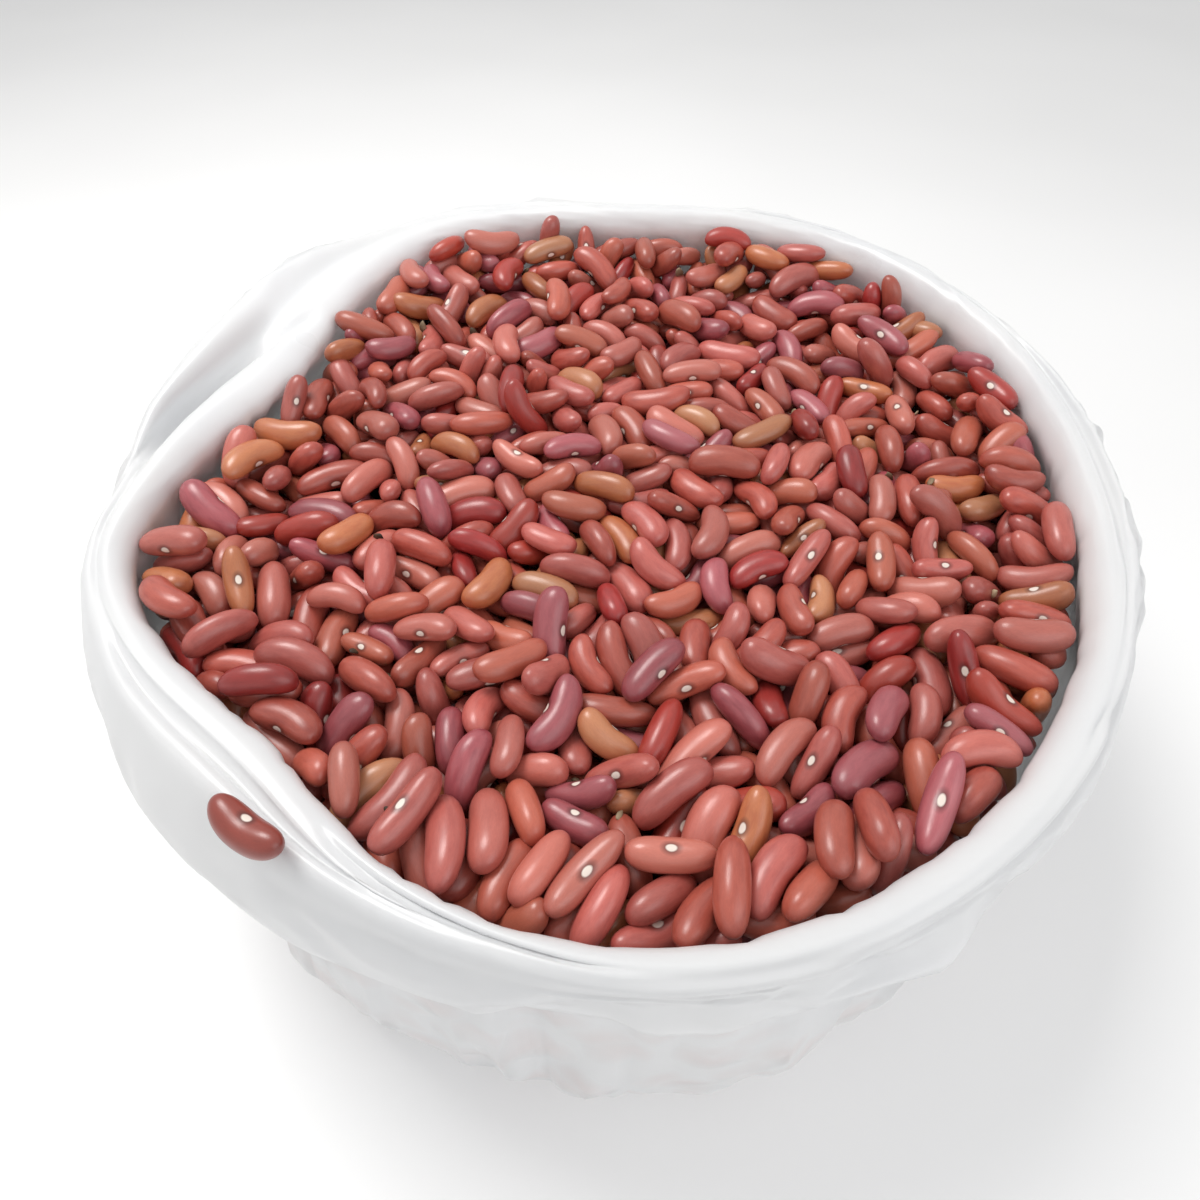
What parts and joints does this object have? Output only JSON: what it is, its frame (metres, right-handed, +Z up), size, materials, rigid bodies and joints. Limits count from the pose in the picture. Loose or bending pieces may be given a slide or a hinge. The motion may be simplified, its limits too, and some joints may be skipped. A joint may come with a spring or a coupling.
{
  "type": "open bag of dried kidney beans",
  "caption": "Thin white film bag standing open with its mouth turned down as a soft collar, filled to the rim with dried kidney beans.",
  "frame": {"origin": "on the surface that the bag stands on, under the middle of its bounding box", "axes": "+Z up out of the mouth, +Y away from the front of the bag towards its higher back rim, +X to the right"},
  "size_m": [0.2606, 0.2578, 0.1176],
  "materials": {
    "bag_film": "thin white polyethylene film, satin and slightly see-through, softly creased",
    "bean_skin": "dry seed coats, satin, dusty rose with some tan, mauve and crimson beans",
    "stray_bean_skin": "dark red-brown seed coat, satin, with a pale eye"
  },
  "bodies": {
    "root": {"bag": "bag_film", "beans": "bean_skin", "loose_bean": "stray_bean_skin"}
  },
  "joints": []
}
